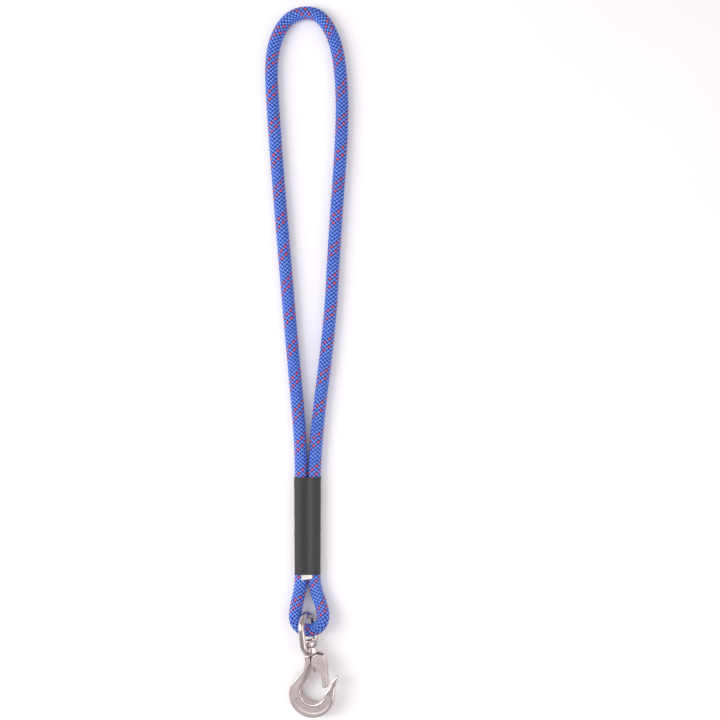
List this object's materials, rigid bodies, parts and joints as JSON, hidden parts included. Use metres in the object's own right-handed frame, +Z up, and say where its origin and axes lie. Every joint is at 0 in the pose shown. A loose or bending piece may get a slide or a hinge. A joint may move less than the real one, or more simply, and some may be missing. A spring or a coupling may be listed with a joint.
{
  "type": "rope sling with swivel safety hook",
  "caption": "Short loop of braided rope with a heat-shrink sleeve, a small eye, and a steel swivel hook with a sprung safety latch.",
  "frame": {"origin": "on the surface it lies on, at the middle of the box round the sleeve, swivel ring and hook", "axes": "+Y from the hook to the hand loop, along the sleeve; +Z up from the surface; +X to the side the hook's tip points to"},
  "size_m": [0.0914, 0.7736, 0.0345],
  "materials": {
    "rope_blue": "braided polyester, blue with two red strands",
    "core_white": "parallel white yarns",
    "seal_blue": "melted polyester",
    "thread": "waxed sewing thread",
    "film_black": "shrunk polyolefin film",
    "tape_white": "woven cloth tape",
    "steel_satin": "stainless, barrel finished, bright on the edges",
    "steel_sheet": "pressed stainless sheet",
    "steel_spring": "drawn spring wire"
  },
  "bodies": {
    "sling": {"rope_cover": "rope_blue", "rope_core": "core_white", "rope_end_seals": "seal_blue", "leg_stitching": "thread", "heat_shrink_sleeve": "film_black", "binding_tape": "tape_white"},
    "ring": {"swivel_eye": "steel_satin"},
    "hook": {"hook_body": "steel_satin", "thrust_washer": "steel_satin", "shank_collar": "steel_satin", "latch_rivet": "steel_sheet", "latch_spring": "steel_spring"},
    "latch": {"safety_latch": "steel_sheet"}
  },
  "joints": [
    {"name": "eye_swing", "type": "hinge", "parent": "sling", "child": "ring", "pos_m": [-0.00687, -0.03091, 0.01787], "axis": [0.912, 0.063, 0.4054], "range_deg": [-85, 85]},
    {"name": "hook_swivel", "type": "hinge", "parent": "ring", "child": "hook", "pos_m": [0.0004, -0.1001, 0.01227], "axis": [-0.1042, 0.9913, 0.0802], "continuous": true},
    {"name": "latch_hinge", "type": "hinge", "parent": "hook", "child": "latch", "pos_m": [0.00553, -0.06563, 0.01684], "axis": [-0.1986, -0.0997, 0.975], "range_deg": [-40, 0], "stiffness_Nm_per_rad": 0.03, "springref_deg": 40.11, "deforming": ["latch_spring"]}
  ]
}
